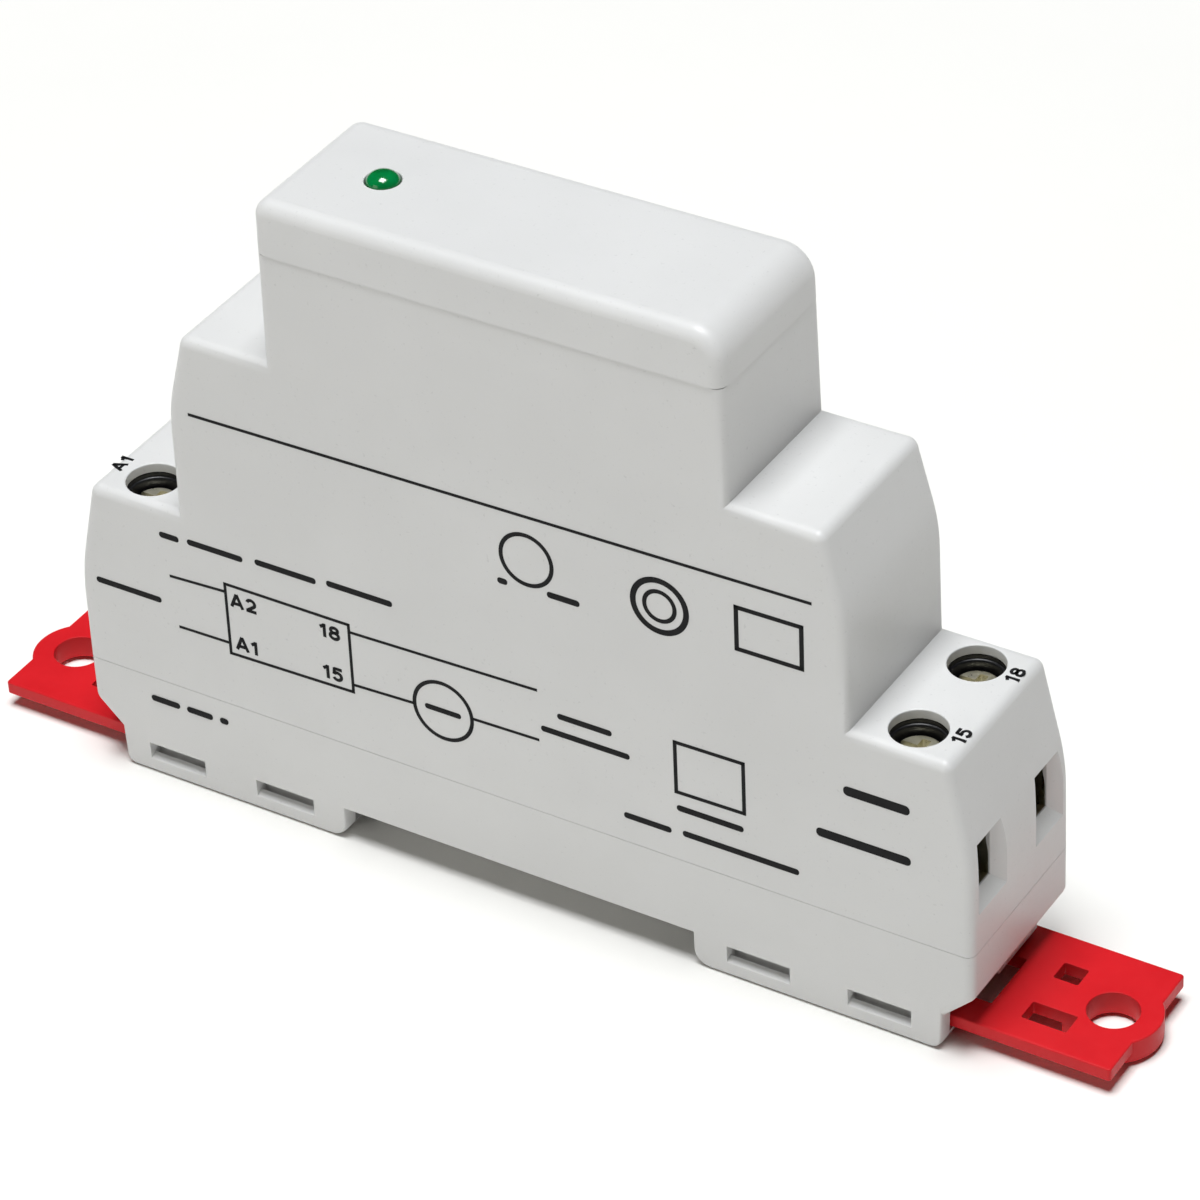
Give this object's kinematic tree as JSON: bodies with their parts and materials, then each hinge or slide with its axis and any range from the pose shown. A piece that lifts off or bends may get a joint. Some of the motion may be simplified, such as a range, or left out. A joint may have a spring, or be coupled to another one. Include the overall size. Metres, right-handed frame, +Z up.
{
  "type": "industrial control relay",
  "caption": "Slim solid-state relay for a 35 mm rail: stepped case with a lamp, screw terminals at both ends and pull-out slide clips.",
  "frame": {"origin": "middle of the underside of the feet", "axes": "+X along the length towards the right end, +Y along the rail away from the printed side, +Z up to the lamp"},
  "size_m": [0.116, 0.0176, 0.0656],
  "materials": {
    "case_plastic": "satin moulded",
    "lamp_green": "clear green",
    "clip_red": "satin moulded",
    "carrier_black": "moulded",
    "screw_steel": "bright zinc",
    "cage_steel": "zinc plated",
    "bar_brass": "tinned brass",
    "board_green": "solder resist",
    "spreader_aluminium": "rolled",
    "pad_grey": "matt",
    "package_black": "moulded",
    "tinned_wire": "tinned",
    "opto_white": "moulded",
    "varistor_blue": "dipped",
    "capacitor_yellow": "moulded",
    "resistor_tan": "lacquered"
  },
  "bodies": {
    "case": {"base": "case_plastic", "housing_body": "case_plastic", "lid": "case_plastic", "indicator_led": "lamp_green", "led_leads": "tinned_wire", "terminal_carrier_left": "carrier_black", "terminal_carrier_right": "carrier_black", "terminal_bar_1": "bar_brass", "terminal_bar_2": "bar_brass", "terminal_bar_3": "bar_brass", "terminal_bar_4": "bar_brass", "circuit_board": "board_green", "heat_spreader": "spreader_aluminium", "thermal_pad": "pad_grey", "power_switch": "package_black", "switch_leads": "tinned_wire", "switch_rivet": "tinned_wire", "optocoupler": "opto_white", "optocoupler_pins": "tinned_wire", "varistor": "varistor_blue", "snubber_capacitor": "capacitor_yellow", "resistors": "resistor_tan", "diodes": "package_black"},
    "clip_left_body": {"clip_left": "clip_red"},
    "clip_right_body": {"clip_right": "clip_red"},
    "screw_1": {"terminal_screw_1": "screw_steel"},
    "cage_1": {"clamp_cage_1": "cage_steel"},
    "screw_2": {"terminal_screw_2": "screw_steel"},
    "cage_2": {"clamp_cage_2": "cage_steel"},
    "screw_3": {"terminal_screw_3": "screw_steel"},
    "cage_3": {"clamp_cage_3": "cage_steel"},
    "screw_4": {"terminal_screw_4": "screw_steel"},
    "cage_4": {"clamp_cage_4": "cage_steel"}
  },
  "joints": [
    {"name": "clip_left_slide", "type": "slide", "parent": "case", "child": "clip_left_body", "axis": [1, 0, 0], "range_m": [0, 0.0117]},
    {"name": "clip_right_slide", "type": "slide", "parent": "case", "child": "clip_right_body", "axis": [-1, 0, 0], "range_m": [0, 0.0117]},
    {"name": "screw_1_turn", "type": "hinge", "parent": "case", "child": "screw_1", "pos_m": [-0.0382, -0.005, 0.025], "axis": [0, 0, -1], "range_deg": [0, 2160]},
    {"name": "cage_1_lift", "type": "slide", "parent": "case", "child": "cage_1", "axis": [0, 0, 1], "range_m": [0, 0.0027]},
    {"name": "screw_2_turn", "type": "hinge", "parent": "case", "child": "screw_2", "pos_m": [-0.0382, 0.005, 0.025], "axis": [0, 0, -1], "range_deg": [0, 2160]},
    {"name": "cage_2_lift", "type": "slide", "parent": "case", "child": "cage_2", "axis": [0, 0, 1], "range_m": [0, 0.0027]},
    {"name": "screw_3_turn", "type": "hinge", "parent": "case", "child": "screw_3", "pos_m": [0.0382, -0.005, 0.025], "axis": [0, 0, -1], "range_deg": [0, 2160]},
    {"name": "cage_3_lift", "type": "slide", "parent": "case", "child": "cage_3", "axis": [0, 0, 1], "range_m": [0, 0.0027]},
    {"name": "screw_4_turn", "type": "hinge", "parent": "case", "child": "screw_4", "pos_m": [0.0382, 0.005, 0.025], "axis": [0, 0, -1], "range_deg": [0, 2160]},
    {"name": "cage_4_lift", "type": "slide", "parent": "case", "child": "cage_4", "axis": [0, 0, 1], "range_m": [0, 0.0027]}
  ],
  "couplings": [
    {"joint": "screw_1_turn", "follows": "cage_1_lift", "rad_per_m": 13963},
    {"joint": "screw_2_turn", "follows": "cage_2_lift", "rad_per_m": 13963},
    {"joint": "screw_3_turn", "follows": "cage_3_lift", "rad_per_m": 13963},
    {"joint": "screw_4_turn", "follows": "cage_4_lift", "rad_per_m": 13963}
  ]
}
